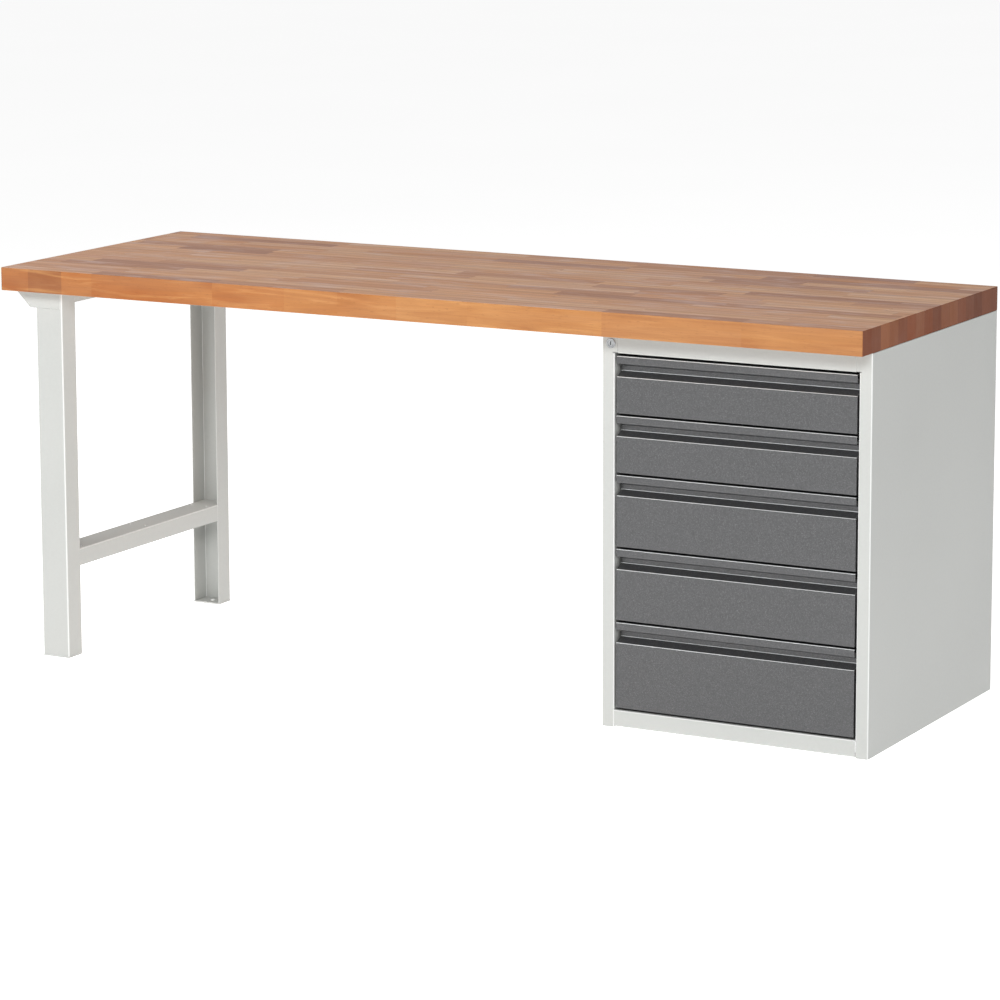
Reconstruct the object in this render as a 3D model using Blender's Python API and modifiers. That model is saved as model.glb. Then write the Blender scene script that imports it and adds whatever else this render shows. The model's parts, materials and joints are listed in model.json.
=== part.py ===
"""Workbench with drawers: a beech worktop on a folded-steel leg frame and a cabinet with five drawers.

Metres, +Z up. The origin is on the floor under the middle of the worktop. +X runs along the bench to
the cabinet end and +Y runs to the back. The drawers are closed and the central lock is open.
"""

import math

import bmesh
import bpy
from mathutils import Vector

GAP = 0.0003  # clearance between pieces that touch
BEND_STEPS = 3  # flats in each sheet-metal bend
ROUND_SEGMENTS = 32

# Worktop
BENCH_HEIGHT = 0.85
WORKTOP_LENGTH = 2.0
WORKTOP_DEPTH = 0.7
WORKTOP_THICKNESS = 0.05
WORKTOP_EDGE = 0.0015
UNDERSIDE = BENCH_HEIGHT - WORKTOP_THICKNESS
SUPPORT_TOP = UNDERSIDE - GAP

# Leg frame: two channels that open towards each other, a stretcher and a top bearer
FRAME_SHEET = 0.002
FRAME_BEND = 0.003
FRAME_FRONT = -0.320
FRAME_BACK = 0.330
LEG_LEFT = -0.932
LEG_RIGHT = -0.865
LEG_DEPTH = 0.049
FOOT_PLATE = 0.003
FOOT_LEDGE = 0.0025
FOOT_HOLE = 0.0055
STRETCHER_LOW = 0.1965
STRETCHER_HIGH = 0.2335
STRETCHER_HOLE = 0.0035
STRETCHER_HOLE_SIDE = 0.020
STRETCHER_HOLE_STEP = 0.250
BEARER_RIGHT_LOW = 0.773
BEARER_LEFT_LOW = 0.763
BEARER_LEFT_FOOT = -0.947
BEARER_LEFT_TOP = -0.984

# Cabinet
CABINET_SHEET = 0.0015
CABINET_BEND = 0.0025
CABINET_LEFT = 0.420
CABINET_RIGHT = 1.000
CABINET_FRONT = -0.300
CABINET_BACK = 0.350
CABINET_MIDDLE = (CABINET_LEFT + CABINET_RIGHT) / 2
POST_WIDTH = 0.027
POST_WIDTH_TOP = 0.0335
FRONT_LIP_DEPTH = 0.060
BACK_LIP_DEPTH = 0.070
OPENING_TOP = 0.761
RELIEF_HEIGHT = 0.0015
RELIEF_REACH = 0.004
OPENING_HALF = CABINET_MIDDLE - CABINET_LEFT - POST_WIDTH
BOTTOM_RAIL_LOW = 0.002
BOTTOM_RAIL_HIGH = 0.0355
BOTTOM_RAIL_DEPTH = 0.030
TOP_RAIL_DEPTH = 0.036
TOP_RAIL_LIP = 0.025
PANEL_FLANGE = 0.020
BACK_FLANGE = 0.015
WELD_INSET = 0.00003  # a welded flange lies this far inside the faces of the sheet it meets

# Drawers, from the top: height of each front's upper edge, and the room it takes
DRAWERS = ((0.756, 0.120), (0.636, 0.120), (0.516, 0.150), (0.366, 0.150), (0.216, 0.180))
DRAWER_SHEET = 0.0012
DRAWER_BEND = 0.0022
DRAWER_GAP = 0.004
FRONT_HALF = 0.2585
FRONT_SET_BACK = 0.001
FRONT_RETURN = 0.022
GRIP_STRIP = 0.0155
GRIP_DROP = 0.0055
GRIP_DEPTH = 0.0215
GRIP_WALL = 0.0107
GRIP_LEDGE_DROP = 0.0103
BOX_HALF = 0.250
BOX_START = 0.023
BOX_LENGTH = 0.590
BOX_BELOW_TOP = 0.012
BOX_ABOVE_BOTTOM = 0.006

# Telescopic slides: a fixed, a middle and a drawer member on each side, nested channels
SLIDE_SHEET = 0.0012
SLIDE_START = 0.037
SLIDE_LENGTH = 0.560
SLIDE_ABOVE_BOX = 0.030
FIXED_WEB = OPENING_HALF - GAP
FIXED_EDGE = 0.2534
FIXED_HALF_HEIGHT = 0.0225
MIDDLE_WEB = 0.2594
MIDDLE_EDGE = 0.2526
MIDDLE_HALF_HEIGHT = 0.0186
INNER_WEB = BOX_HALF + GAP
INNER_EDGE = 0.2569
INNER_HALF_HEIGHT = 0.0150

# Central lock in the top of the left post: a quarter turn lowers the rod and its hooks
LOCK_X = 0.439
LOCK_Z = 0.7806
LOCK_RIM_RADIUS = 0.010
LOCK_RIM_THICKNESS = 0.0018
LOCK_BODY_RADIUS = 0.008
LOCK_BODY_LENGTH = 0.022
LOCK_BORE_RADIUS = 0.0064
PLUG_RADIUS = 0.0060
PLUG_FRONT = 0.0014
PLUG_LENGTH = 0.023
KEYWAY_WIDTH = 0.0018
KEYWAY_HEIGHT = 0.0076
KEYWAY_DEPTH = 0.012
ROD_TRAVEL = 0.009
CAM_THROW = ROD_TRAVEL
CAM_HUB_RADIUS = 0.0055
CAM_TIP_RADIUS = 0.0040
CAM_THICKNESS = 0.002
CAM_PIN_RADIUS = 0.002
CAM_PIN_LENGTH = 0.009
ROD_Y = -0.272
ROD_THICKNESS = 0.003
ROD_LEFT = 0.428
ROD_RIGHT = 0.438
ROD_LOW = 0.060
HEAD_LEFT = 0.4245
HEAD_RIGHT = 0.445
HEAD_LOW = 0.768
HEAD_HIGH = 0.793
HEAD_SLOT_LEFT = 0.427
HEAD_SLOT_RIGHT = 0.442
HEAD_SLOT_HALF = 0.005
HOOK_TIP = 0.457
HOOK_HEIGHT = 0.010
HOOK_CLEARANCE = 0.0015
SLOT_MARGIN = 0.0025


def clear_scene():
    for obj in list(bpy.data.objects):
        bpy.data.objects.remove(obj, do_unlink=True)


def new_collection(name):
    collection = bpy.data.collections.new(name)
    bpy.context.scene.collection.children.link(collection)
    return collection


def new_material(name, color, roughness, metallic=0.0):
    material = bpy.data.materials.new(name)
    material.use_nodes = True
    shader = material.node_tree.nodes["Principled BSDF"]
    shader.inputs["Base Color"].default_value = (*color, 1.0)
    shader.inputs["Roughness"].default_value = roughness
    shader.inputs["Metallic"].default_value = metallic
    return material


clear_scene()
PARTS = new_collection("workbench_with_drawers")
CUTTERS = new_collection("cutters")
BEECH = new_material("beech", (0.52, 0.22, 0.09), 0.45)
LIGHT_GREY = new_material("light_grey_coat", (0.60, 0.61, 0.58), 0.40)
ANTHRACITE = new_material("anthracite_coat", (0.13, 0.13, 0.14), 0.35, 0.3)
ZINC = new_material("zinc_plated_steel", (0.62, 0.64, 0.66), 0.35, 1.0)
CHROME = new_material("chrome", (0.80, 0.80, 0.82), 0.12, 1.0)


def add_object(name, bm, material, parent):
    """Name a finished bmesh. With no material it is a helper that only Booleans use."""
    mesh = bpy.data.meshes.new(name)
    bm.to_mesh(mesh)
    bm.free()
    obj = bpy.data.objects.new(name, mesh)
    obj.parent = parent
    if material:
        mesh.materials.append(material)
        PARTS.objects.link(obj)
    else:
        CUTTERS.objects.link(obj)
        obj.hide_render = True
        obj.display_type = "WIRE"
    return obj


def add_pivot(name, location):
    """An empty on a joint's axis, which carries the pieces that move together."""
    pivot = bpy.data.objects.new(name, None)
    pivot.location = location
    pivot.empty_display_size = 0.02
    PARTS.objects.link(pivot)
    return pivot


def add_box(name, low, high, material=None, parent=None):
    low, high = Vector(low), Vector(high)
    bm = bmesh.new()
    bmesh.ops.create_cube(bm, size=1.0)
    bmesh.ops.scale(bm, vec=high - low, verts=bm.verts)
    obj = add_object(name, bm, material, parent)
    obj.location = (low + high) / 2
    return obj


def add_cylinder(name, radius, start, end, material=None, parent=None):
    start, end = Vector(start), Vector(end)
    along = end - start
    bm = bmesh.new()
    bmesh.ops.create_cone(
        bm, cap_ends=True, segments=ROUND_SEGMENTS, radius1=radius, radius2=radius, depth=along.length
    )
    turn = Vector((0, 0, 1)).rotation_difference(along).to_matrix()
    bmesh.ops.rotate(bm, matrix=turn, verts=bm.verts)
    obj = add_object(name, bm, material, parent)
    obj.location = (start + end) / 2
    obj.data.shade_smooth()
    obj.data.set_sharp_from_angle(angle=math.radians(40))
    return obj


def rounded(corners, radius):
    """The line through the corners, with an arc of this radius in place of each inner corner."""
    corners = [Vector(corner) for corner in corners]
    points = [corners[0]]
    for before, corner, after in zip(corners, corners[1:], corners[2:]):
        back = (before - corner).normalized()
        ahead = (after - corner).normalized()
        half = back.angle(ahead) / 2
        centre = corner + (back + ahead).normalized() * radius / math.sin(half)
        first = corner + back * radius / math.tan(half) - centre
        last = corner + ahead * radius / math.tan(half) - centre
        for step in range(BEND_STEPS + 1):
            points.append(centre + first.lerp(last, step / BEND_STEPS).normalized() * radius)
    return points + [corners[-1]]


def across(axis, at, a, b):
    """A point in the plane across the axis, its two coordinates in X, Y, Z order."""
    return Vector({"X": (at, a, b), "Y": (a, at, b), "Z": (a, b, at)}[axis])


def thicken(obj, thickness, offset):
    solidify = obj.modifiers.new("thickness", "SOLIDIFY")
    solidify.thickness = thickness
    solidify.offset = offset
    solidify.use_even_offset = True


def add_sheet(name, corners, axis, start, end, sheet, bend, material, parent=None):
    """Bent sheet metal: an outline across the axis, drawn from start to end along it.

    The outline is the outer face, and the thickness lies to the left of its direction.
    """
    path = rounded(corners, bend)
    bm = bmesh.new()
    verts = [bm.verts.new(across(axis, start, *point)) for point in path]
    edges = [bm.edges.new(pair) for pair in zip(verts, verts[1:])]
    drawn = bmesh.ops.extrude_edge_only(bm, edges=edges)["geom"]
    moved = [item for item in drawn if isinstance(item, bmesh.types.BMVert)]
    bmesh.ops.translate(bm, vec=across(axis, end - start, 0, 0), verts=moved)
    bm.normal_update()
    run = path[1] - path[0]
    if edges[0].link_faces[0].normal.dot(across(axis, 0, run.y, -run.x)) < 0:
        bmesh.ops.reverse_faces(bm, faces=bm.faces)
    obj = add_object(name, bm, material, parent)
    thicken(obj, sheet, -1)
    return obj


def add_plate(name, outline, axis, start, end, material=None, parent=None):
    """A flat plate: a closed outline across the axis, from start to end along it."""
    bm = bmesh.new()
    verts = [bm.verts.new(across(axis, (start + end) / 2, *point)) for point in outline]
    edges = [bm.edges.new(pair) for pair in zip(verts, verts[1:] + verts[:1])]
    bmesh.ops.edgeloop_fill(bm, edges=edges)
    obj = add_object(name, bm, material, parent)
    thicken(obj, end - start, 0)
    return obj


def combine(obj, other, operation):
    modifier = obj.modifiers.new(f"{operation.lower()} {other.name}", "BOOLEAN")
    modifier.operation = operation
    modifier.object = other
    modifier.solver = "EXACT"


def cut_box(obj, name, low, high):
    combine(obj, add_box(name, low, high, parent=obj.parent), "DIFFERENCE")


def cut_hole(obj, name, radius, start, end):
    combine(obj, add_cylinder(name, radius, start, end, parent=obj.parent), "DIFFERENCE")


def build_worktop():
    half = Vector((WORKTOP_LENGTH / 2, WORKTOP_DEPTH / 2, 0))
    worktop = add_box(
        "worktop", (-half.x, -half.y, UNDERSIDE), (half.x, half.y, BENCH_HEIGHT), BEECH
    )
    bevel = worktop.modifiers.new("eased edges", "BEVEL")
    bevel.width = WORKTOP_EDGE
    bevel.segments = 2


def leg_outline(outer, inner):
    """The channel in plan, from its free edges at inner to its web at outer."""
    corners = [(LEG_LEFT, inner), (LEG_LEFT, outer), (LEG_RIGHT, outer), (LEG_RIGHT, inner)]
    return corners if inner > outer else corners[::-1]


def build_leg(side, outer, inward):
    """One leg with its foot plate and the end plate of the bearer; inward is +1 or -1 along Y."""
    inner = outer + inward * LEG_DEPTH
    low, high = sorted((outer, inner))
    leg = add_sheet(
        f"{side}_leg", leg_outline(outer, inner), "Z", FOOT_PLATE + GAP, SUPPORT_TOP, FRAME_SHEET,
        FRAME_BEND, LIGHT_GREY,
    )
    plate_right = LEG_RIGHT - FRAME_SHEET - FRAME_BEND - GAP
    web_low, web_high = sorted((outer - inward * FRAME_SHEET, outer + inward * (FRAME_BEND + GAP)))
    cut_box(
        leg, f"{side}_leg_web_cut", (LEG_LEFT - FRAME_SHEET, web_low, BEARER_LEFT_LOW - GAP),
        (plate_right + GAP, web_high, BENCH_HEIGHT),
    )
    cut_box(
        leg, f"{side}_leg_top_cut", (LEG_LEFT - FRAME_SHEET, low, SUPPORT_TOP - FRAME_SHEET - GAP),
        (plate_right + GAP, high, BENCH_HEIGHT),
    )
    ledge = FOOT_LEDGE if side == "rear" else 0
    foot = add_box(
        f"{side}_foot_plate", (LEG_LEFT - ledge, low, 0), (LEG_RIGHT, high, FOOT_PLATE), LIGHT_GREY
    )
    middle = Vector(((LEG_LEFT + LEG_RIGHT) / 2, (low + high) / 2, 0))
    cut_hole(
        foot, f"{side}_foot_hole", FOOT_HOLE, middle - Vector((0, 0, FOOT_PLATE)),
        middle + Vector((0, 0, 2 * FOOT_PLATE)),
    )
    end_low, end_high = sorted((outer, outer + inward * FRAME_SHEET))
    trapezium = (
        (BEARER_LEFT_FOOT, BEARER_LEFT_LOW), (plate_right, BEARER_LEFT_LOW),
        (plate_right, SUPPORT_TOP), (BEARER_LEFT_TOP, SUPPORT_TOP),
    )
    add_plate(f"{side}_end_plate", trapezium, "Y", end_low, end_high, LIGHT_GREY)


def leg_zones():
    """The two stretches along Y that the legs fill, each with its running clearance."""
    front = (FRAME_FRONT - FRAME_SHEET, FRAME_FRONT + LEG_DEPTH + GAP)
    rear = (FRAME_BACK - LEG_DEPTH - GAP, FRAME_BACK + FRAME_SHEET)
    return {"front": front, "rear": rear}


def build_stretcher():
    start = FRAME_FRONT + FRAME_BEND
    end = FRAME_BACK - FRAME_BEND
    corners = (
        (LEG_RIGHT, STRETCHER_LOW), (LEG_RIGHT, STRETCHER_HIGH), (LEG_LEFT, STRETCHER_HIGH),
        (LEG_LEFT, STRETCHER_LOW),
    )
    stretcher = add_sheet(
        "stretcher", corners, "Y", start, end, FRAME_SHEET, FRAME_BEND, LIGHT_GREY
    )
    flange = FRAME_SHEET + 2 * GAP
    for end_name, (low, high) in leg_zones().items():
        cut_box(
            stretcher, f"stretcher_{end_name}_left_cut", (LEG_LEFT - GAP, low, 0),
            (LEG_LEFT + flange, high, BENCH_HEIGHT),
        )
        cut_box(
            stretcher, f"stretcher_{end_name}_right_cut", (LEG_RIGHT - flange, low, 0),
            (LEG_RIGHT + GAP, high, BENCH_HEIGHT),
        )
    middle_x = (LEG_LEFT + LEG_RIGHT) / 2
    middle_y = (FRAME_FRONT + FRAME_BACK) / 2
    for row in (-1, 0, 1):
        for side in (-1, 1):
            x = middle_x + side * STRETCHER_HOLE_SIDE
            y = middle_y + row * STRETCHER_HOLE_STEP
            cut_hole(
                stretcher, f"stretcher_hole_{row + 1}_{side + 1}", STRETCHER_HOLE,
                (x, y, STRETCHER_HIGH - 2 * FRAME_SHEET), (x, y, STRETCHER_HIGH + FRAME_SHEET),
            )


def build_top_bearer():
    start = FRAME_FRONT + FRAME_SHEET + GAP
    end = FRAME_BACK - FRAME_SHEET - GAP
    corners = (
        (LEG_RIGHT, BEARER_RIGHT_LOW), (LEG_RIGHT, SUPPORT_TOP), (BEARER_LEFT_TOP, SUPPORT_TOP),
        (BEARER_LEFT_FOOT, BEARER_LEFT_LOW),
    )
    bearer = add_sheet(
        "top_bearer", corners, "Y", start, end, FRAME_SHEET, FRAME_BEND, LIGHT_GREY
    )
    for end_name, (low, high) in leg_zones().items():
        cut_box(
            bearer, f"bearer_{end_name}_cut",
            (LEG_RIGHT - FRAME_SHEET - FRAME_BEND, low, STRETCHER_HIGH),
            (LEG_RIGHT + GAP, high, BENCH_HEIGHT),
        )


def mirrored(corners):
    """The same outline on the other side of the cabinet's middle plane."""
    return [(2 * CABINET_MIDDLE - x, y) for x, y in corners][::-1]


def cabinet_box(side, low, high):
    """A box's corners for the left side, or their mirror image for the right side."""
    if side == "left":
        return low, high
    return (2 * CABINET_MIDDLE - high[0], *low[1:]), (2 * CABINET_MIDDLE - low[0], *high[1:])


def build_side_panel(side):
    """Side wall with a hollow post at each end, a foot flange and a wider front flange at the top."""
    post = CABINET_LEFT + POST_WIDTH
    inside = CABINET_SHEET / 2
    corners = [
        (post, CABINET_BACK - BACK_LIP_DEPTH), (post, CABINET_BACK), (CABINET_LEFT, CABINET_BACK),
        (CABINET_LEFT, CABINET_FRONT), (post, CABINET_FRONT), (post, CABINET_FRONT + FRONT_LIP_DEPTH),
    ]
    if side == "right":
        corners = mirrored(corners)
    panel = add_sheet(
        f"cabinet_side_{side}", corners, "Z", 0, SUPPORT_TOP, CABINET_SHEET, CABINET_BEND, LIGHT_GREY
    )
    low, high = cabinet_box(
        side, (post - RELIEF_REACH, CABINET_FRONT - CABINET_BEND, OPENING_TOP),
        (CABINET_LEFT + 2 * POST_WIDTH, CABINET_FRONT + 2 * FRONT_LIP_DEPTH, BENCH_HEIGHT),
    )
    cut_box(panel, f"side_{side}_lip_cut", low, high)
    low, high = cabinet_box(
        side, (post - 2 * RELIEF_REACH, CABINET_FRONT + WELD_INSET, OPENING_TOP + RELIEF_HEIGHT),
        (
            CABINET_LEFT + POST_WIDTH_TOP, CABINET_FRONT + CABINET_SHEET - WELD_INSET,
            SUPPORT_TOP - WELD_INSET,
        ),
    )
    combine(panel, add_box(f"side_{side}_top_flange", low, high), "UNION")
    low, high = cabinet_box(
        side, (CABINET_LEFT + inside, CABINET_FRONT + CABINET_BEND, WELD_INSET),
        (post - CABINET_BEND, CABINET_BACK - CABINET_BEND, CABINET_SHEET),
    )
    combine(panel, add_box(f"side_{side}_foot_flange", low, high), "UNION")
    return panel


def slide_height(room):
    """The middle of a drawer's slides, measured from the front's upper edge."""
    return DRAWER_GAP - room + BOX_ABOVE_BOTTOM + SLIDE_ABOVE_BOX


def hook_low(top, room):
    """The underside of a drawer's hook with the lock open; lowered, it still clears the slides."""
    return top + slide_height(room) + MIDDLE_HALF_HEIGHT + HOOK_CLEARANCE + ROD_TRAVEL


def cut_lock_openings(panel):
    """The lock's hole and the slots that the rod's hooks reach through, in the left post."""
    cut_hole(
        panel, "lock_hole", LOCK_BODY_RADIUS + GAP, (LOCK_X, CABINET_FRONT - CABINET_SHEET, LOCK_Z),
        (LOCK_X, CABINET_FRONT + 2 * CABINET_SHEET, LOCK_Z),
    )
    post = CABINET_LEFT + POST_WIDTH
    for number, (top, room) in enumerate(DRAWERS, 1):
        low = hook_low(top, room)
        cut_box(
            panel, f"hook_slot_{number}",
            (post - 2 * CABINET_SHEET, ROD_Y - SLOT_MARGIN, low - ROD_TRAVEL - SLOT_MARGIN),
            (post + CABINET_SHEET, ROD_Y + ROD_THICKNESS + SLOT_MARGIN, low + HOOK_HEIGHT + SLOT_MARGIN),
        )


def build_front_rails():
    post = CABINET_LEFT + POST_WIDTH_TOP + GAP
    corners = (
        (CABINET_FRONT + TOP_RAIL_DEPTH, SUPPORT_TOP), (CABINET_FRONT, SUPPORT_TOP),
        (CABINET_FRONT, OPENING_TOP), (CABINET_FRONT + TOP_RAIL_LIP, OPENING_TOP),
    )
    add_sheet(
        "top_front_rail", corners, "X", post, 2 * CABINET_MIDDLE - post, CABINET_SHEET,
        CABINET_BEND, LIGHT_GREY,
    )
    post = CABINET_LEFT + POST_WIDTH + GAP
    back = CABINET_FRONT + BOTTOM_RAIL_DEPTH
    corners = (
        (back, BOTTOM_RAIL_HIGH), (CABINET_FRONT, BOTTOM_RAIL_HIGH),
        (CABINET_FRONT, BOTTOM_RAIL_LOW), (back, BOTTOM_RAIL_LOW),
    )
    add_sheet(
        "bottom_front_rail", corners, "X", post, 2 * CABINET_MIDDLE - post, CABINET_SHEET,
        CABINET_BEND, LIGHT_GREY,
    )


def build_level_panel(name, height, front, notched_ends):
    """A cabinet floor or top with its side flanges turned down, notched round the posts' lips."""
    wall = CABINET_LEFT + CABINET_SHEET + GAP
    back = CABINET_BACK - BACK_FLANGE - GAP
    corners = (
        (2 * CABINET_MIDDLE - wall, height - PANEL_FLANGE), (2 * CABINET_MIDDLE - wall, height),
        (wall, height), (wall, height - PANEL_FLANGE),
    )
    panel = add_sheet(
        name, corners, "Y", front, back, CABINET_SHEET, CABINET_BEND, LIGHT_GREY
    )
    reach = {
        "front": (CABINET_FRONT, CABINET_FRONT + FRONT_LIP_DEPTH + GAP),
        "back": (CABINET_BACK - BACK_LIP_DEPTH - GAP, CABINET_BACK),
    }
    for side in ("left", "right"):
        for end in notched_ends:
            low, high = cabinet_box(
                side, (CABINET_LEFT, reach[end][0], height - 2 * PANEL_FLANGE),
                (CABINET_LEFT + POST_WIDTH + GAP, reach[end][1], height + PANEL_FLANGE),
            )
            cut_box(panel, f"{name}_{side}_{end}_notch", low, high)


def build_cabinet():
    cut_lock_openings(build_side_panel("left"))
    build_side_panel("right")
    build_front_rails()
    rail_back = CABINET_FRONT + BOTTOM_RAIL_DEPTH + GAP
    build_level_panel("cabinet_floor", BOTTOM_RAIL_HIGH, rail_back, ("front", "back"))
    build_level_panel("cabinet_top", SUPPORT_TOP, CABINET_FRONT + TOP_RAIL_DEPTH + GAP, ("back",))
    post = CABINET_LEFT + POST_WIDTH + GAP
    flange = CABINET_BACK - BACK_FLANGE
    corners = (
        (2 * CABINET_MIDDLE - post, flange), (2 * CABINET_MIDDLE - post, CABINET_BACK),
        (post, CABINET_BACK), (post, flange),
    )
    add_sheet(
        "cabinet_back", corners, "Z", BOTTOM_RAIL_LOW, SUPPORT_TOP, CABINET_SHEET, CABINET_BEND,
        LIGHT_GREY,
    )


def add_channel(name, side, web, edge, height, half_height, material, parent):
    """One slide member, its web at one distance from the drawer's middle and its edges at another.

    Side is -1 on the left and +1 on the right; height is the member's middle in the parent's frame.
    """
    corners = [
        (side * edge, height + half_height), (side * web, height + half_height),
        (side * web, height - half_height), (side * edge, height - half_height),
    ]
    if (web - edge) * side > 0:
        corners.reverse()
    return add_sheet(
        name, corners, "Y", SLIDE_START, SLIDE_START + SLIDE_LENGTH, SLIDE_SHEET, SLIDE_SHEET * 1.5,
        material, parent,
    )


def build_drawer_front(number, height, pivot):
    """Folded front: a grip strip, a finger recess under it and the flat face, from the top down."""
    recess_top = -GRIP_STRIP - GRIP_DROP
    recess_low = recess_top - GRIP_WALL
    face_top = recess_low - GRIP_LEDGE_DROP
    corners = (
        (FRONT_RETURN, 0), (0, 0), (0, -GRIP_STRIP), (GRIP_DEPTH, recess_top),
        (GRIP_DEPTH, recess_low), (0, face_top), (0, -height), (FRONT_RETURN, -height),
    )
    front = add_sheet(
        f"drawer_{number}_front", corners, "X", -FRONT_HALF, FRONT_HALF, DRAWER_SHEET, DRAWER_BEND,
        ANTHRACITE, pivot,
    )
    inside = DRAWER_SHEET / 2
    flange = (
        (inside, -height + inside), (GRIP_DEPTH + inside, -height + inside),
        (GRIP_DEPTH + inside, recess_low - inside), (inside, face_top - inside),
    )
    for name, start in (("left", -FRONT_HALF), ("right", FRONT_HALF - DRAWER_SHEET)):
        end_flange = add_plate(
            f"drawer_{number}_{name}_flange", flange, "X", start, start + DRAWER_SHEET, parent=pivot
        )
        combine(front, end_flange, "UNION")


def build_drawer_box(number, height, pivot):
    """Open tray that hangs behind the front."""
    low = Vector((-BOX_HALF, BOX_START, -height + BOX_ABOVE_BOTTOM))
    high = Vector((BOX_HALF, BOX_START + BOX_LENGTH, -BOX_BELOW_TOP))
    bm = bmesh.new()
    bmesh.ops.create_cube(bm, size=1.0)
    top = [face for face in bm.faces if face.normal.z > 0.5]
    bmesh.ops.delete(bm, geom=top, context="FACES_ONLY")
    bmesh.ops.scale(bm, vec=high - low, verts=bm.verts)
    box = add_object(f"drawer_{number}_box", bm, LIGHT_GREY, pivot)
    box.location = (low + high) / 2
    thicken(box, DRAWER_SHEET, -1)


def build_drawer(number, top, room):
    """A drawer with its slides; the pivots lie in the middle of the front's upper edge."""
    height = room - DRAWER_GAP
    place = Vector((CABINET_MIDDLE, CABINET_FRONT + FRONT_SET_BACK, top))
    pivot = add_pivot(f"drawer_{number}_travel", place)
    build_drawer_front(number, height, pivot)
    build_drawer_box(number, height, pivot)
    middle_pivot = add_pivot(f"drawer_{number}_middle_travel", place)
    fixed_frame = add_pivot(f"drawer_{number}_fixed_slides", place)
    middle = slide_height(room)
    for side, side_name in ((-1, "left"), (1, "right")):
        add_channel(
            f"drawer_{number}_fixed_slide_{side_name}", side, FIXED_WEB, FIXED_EDGE, middle,
            FIXED_HALF_HEIGHT, ZINC, fixed_frame,
        )
        add_channel(
            f"drawer_{number}_middle_slide_{side_name}", side, MIDDLE_WEB, MIDDLE_EDGE, middle,
            MIDDLE_HALF_HEIGHT, ZINC, middle_pivot,
        )
        add_channel(
            f"drawer_{number}_inner_slide_{side_name}", side, INNER_WEB, INNER_EDGE, middle,
            INNER_HALF_HEIGHT, ZINC, pivot,
        )


def build_lock_housing():
    """Turned collar: a rim on the post's face and a hollow body through it."""
    profile = (
        (LOCK_BORE_RADIUS, LOCK_RIM_THICKNESS), (LOCK_RIM_RADIUS * 0.93, LOCK_RIM_THICKNESS),
        (LOCK_RIM_RADIUS, LOCK_RIM_THICKNESS * 0.6), (LOCK_RIM_RADIUS, GAP),
        (LOCK_BODY_RADIUS, GAP), (LOCK_BODY_RADIUS, -LOCK_BODY_LENGTH),
        (LOCK_BORE_RADIUS, -LOCK_BODY_LENGTH),
    )
    bm = bmesh.new()
    verts = [bm.verts.new((radius, 0, height)) for radius, height in profile]
    for pair in zip(verts, verts[1:] + verts[:1]):
        bm.edges.new(pair)
    housing = add_object("lock_housing", bm, CHROME, None)
    housing.location = (LOCK_X, CABINET_FRONT, LOCK_Z)
    housing.rotation_euler = (math.radians(90), 0, 0)
    screw = housing.modifiers.new("turned", "SCREW")
    screw.steps = screw.render_steps = ROUND_SEGMENTS
    screw.use_merge_vertices = True
    screw.merge_threshold = 0.00001
    screw.use_smooth_shade = True


def arc(centre, radius, start_deg, end_deg, steps):
    turn = (end_deg - start_deg) / steps
    angles = [math.radians(start_deg + turn * step) for step in range(steps + 1)]
    return [(centre[0] + radius * math.cos(a), centre[1] + radius * math.sin(a)) for a in angles]


def build_lock_plug():
    """Plug with its keyway, and the cam behind it whose pin moves the rod; both turn together."""
    pivot = add_pivot("lock_turn", (LOCK_X, CABINET_FRONT, LOCK_Z))
    plug = add_cylinder(
        "lock_plug", PLUG_RADIUS, (0, PLUG_LENGTH, 0), (0, -PLUG_FRONT, 0), CHROME, pivot
    )
    cut_box(
        plug, "keyway", (-KEYWAY_WIDTH / 2, -2 * PLUG_FRONT, -KEYWAY_HEIGHT / 2),
        (KEYWAY_WIDTH / 2, KEYWAY_DEPTH, KEYWAY_HEIGHT / 2),
    )
    lever = arc((0, 0), CAM_HUB_RADIUS, -90, 90, 12)
    lever += arc((-CAM_THROW, 0), CAM_TIP_RADIUS, 90, 270, 12)
    start = PLUG_LENGTH + GAP
    cam = add_plate("lock_cam", lever, "Y", start, start + CAM_THICKNESS, ZINC, pivot)
    pin = add_cylinder(
        "cam_pin", CAM_PIN_RADIUS, (-CAM_THROW, start + CAM_THICKNESS / 2, 0),
        (-CAM_THROW, start + CAM_THICKNESS + CAM_PIN_LENGTH, 0), parent=pivot,
    )
    combine(cam, pin, "UNION")


def build_lock_rod():
    """Flat rod in the left post with one hook for each drawer and a slotted head for the cam's pin."""
    hooks = []
    for top, room in reversed(DRAWERS):
        low = hook_low(top, room)
        high = low + HOOK_HEIGHT
        hooks += [(ROD_RIGHT, low), (HOOK_TIP, low), (HOOK_TIP, high), (ROD_RIGHT, high)]
    outline = [
        (ROD_LEFT, ROD_LOW), (ROD_RIGHT, ROD_LOW), *hooks, (ROD_RIGHT, HEAD_LOW),
        (HEAD_RIGHT, HEAD_LOW), (HEAD_RIGHT, HEAD_HIGH), (HEAD_LEFT, HEAD_HIGH),
        (HEAD_LEFT, HEAD_LOW), (ROD_LEFT, HEAD_LOW),
    ]
    pivot = add_pivot("lock_rod_travel", (LOCK_X, ROD_Y, LOCK_Z))
    local = [(x - LOCK_X, z - LOCK_Z) for x, z in outline]
    rod = add_plate("lock_rod", local, "Y", 0, ROD_THICKNESS, ZINC, pivot)
    cut_box(
        rod, "head_slot", (HEAD_SLOT_LEFT - LOCK_X, -ROD_THICKNESS, -HEAD_SLOT_HALF),
        (HEAD_SLOT_RIGHT - LOCK_X, 2 * ROD_THICKNESS, HEAD_SLOT_HALF),
    )


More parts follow.
